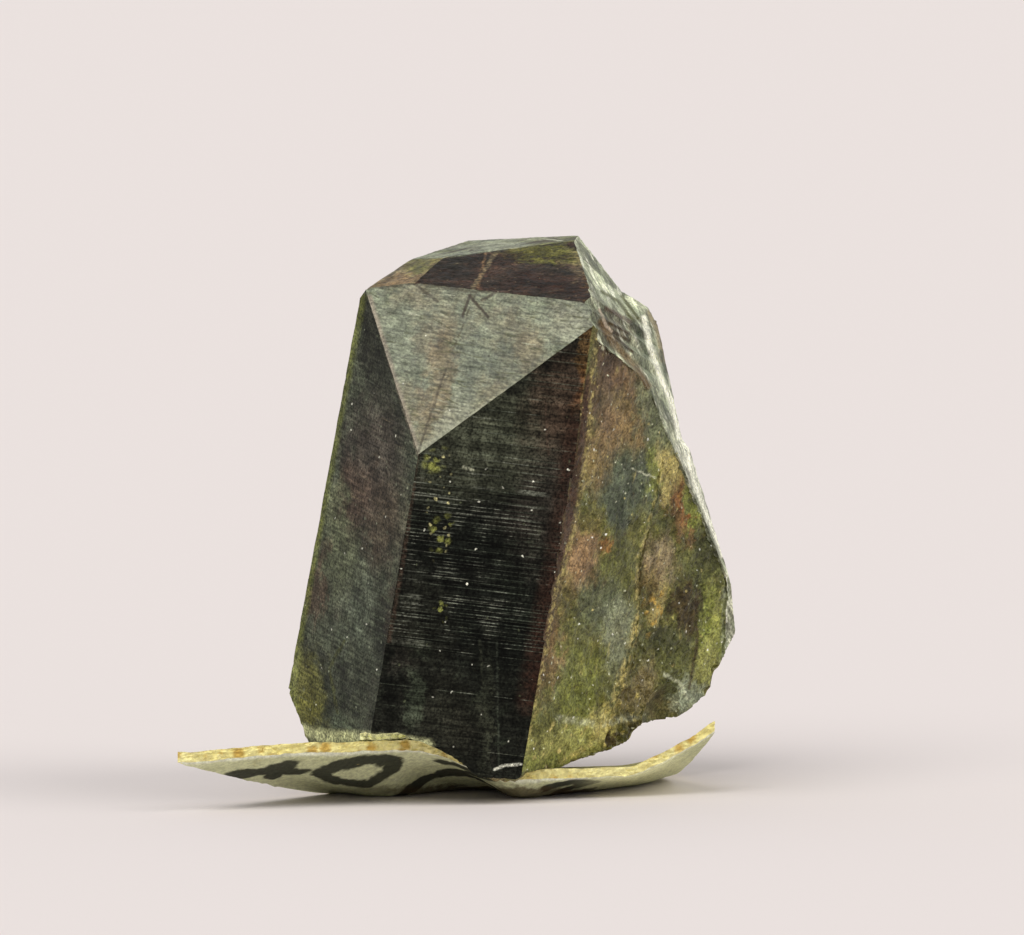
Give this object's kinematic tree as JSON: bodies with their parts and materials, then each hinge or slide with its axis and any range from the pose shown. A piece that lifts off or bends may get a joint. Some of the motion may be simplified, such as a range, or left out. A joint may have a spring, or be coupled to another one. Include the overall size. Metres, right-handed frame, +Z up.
{
  "type": "mineral specimen",
  "caption": "Stout prismatic thortveitite crystal with a slanting bright end face, a stepped shoulder and a broken foot, standing on a small curled paper slip.",
  "frame": {"origin": "on the paper slip's flat patch, on the surface that the specimen rests on, below the crystal's middle", "axes": "+Z up, -Y towards the side that the picture shows, +X to that side's right"},
  "size_m": [0.0139, 0.0116, 0.0139],
  "materials": {
    "crystal": "satin to glassy, nearly opaque, olive where thin",
    "paper": "matte, yellowed"
  },
  "bodies": {
    "root": {"crystal": "crystal", "paper_label": "paper"}
  },
  "joints": []
}
